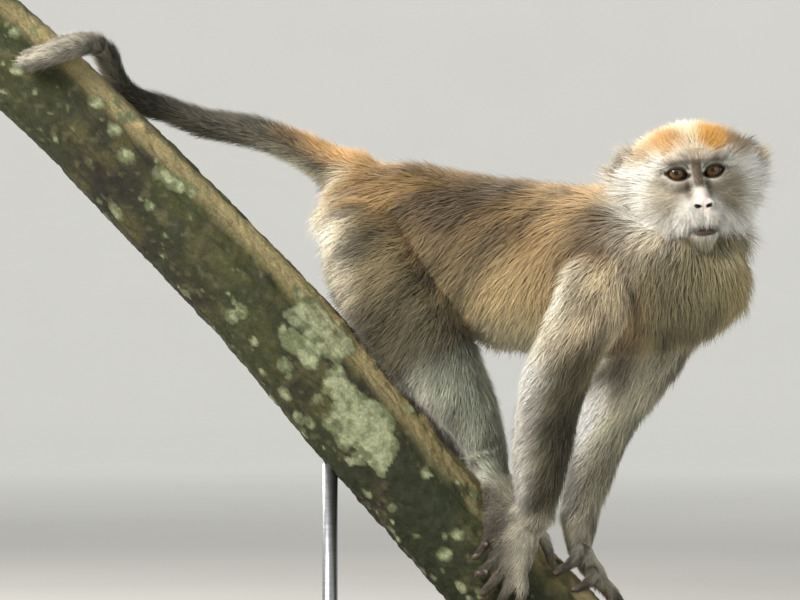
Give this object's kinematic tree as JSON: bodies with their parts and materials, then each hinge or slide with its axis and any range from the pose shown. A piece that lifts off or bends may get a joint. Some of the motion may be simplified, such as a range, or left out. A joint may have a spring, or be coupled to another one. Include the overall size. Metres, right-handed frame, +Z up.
{
  "type": "monkey",
  "caption": "Still, life-size long-tailed macaque on a sloping cut branch with its tail hooked over it, on a plain display stand.",
  "frame": {"origin": "on the floor, under the middle of the part's box", "axes": "+X the way the animal's body faces and the branch falls, -Y the animal's right side and the way its face looks, +Z up"},
  "size_m": [0.7618, 0.3, 0.7105],
  "materials": {
    "coat_back": "short golden-brown fur, lighter at the tips",
    "coat_pale": "soft pale grey fur with a warm crown",
    "coat_grey": "short grey fur with silver tips",
    "eye": "wet amber-brown eye",
    "ear_skin": "thin bare grey-pink skin",
    "bark": "bark with moss and pale lichen",
    "walnut": "satin walnut",
    "steel": "brushed"
  },
  "bodies": {
    "root": {"head": "coat_pale", "eye_right": "eye", "eye_left": "eye", "ear_right": "ear_skin", "ear_left": "ear_skin", "neck": "coat_pale", "torso": "coat_back", "upper_arm_right": "coat_back", "forearm_right": "coat_grey", "hand_right": "coat_grey", "upper_arm_left": "coat_back", "forearm_left": "coat_grey", "hand_left": "coat_grey", "thigh_right": "coat_back", "shank_right": "coat_grey", "foot_right": "coat_grey", "thigh_left": "coat_back", "shank_left": "coat_grey", "foot_left": "coat_grey", "tail_1": "coat_grey", "tail_2": "coat_grey", "tail_3": "coat_grey", "tail_4": "coat_grey", "perch": "bark", "stand_base": "walnut", "stand_rod_1": "steel", "stand_rod_2": "steel"}
  },
  "joints": []
}
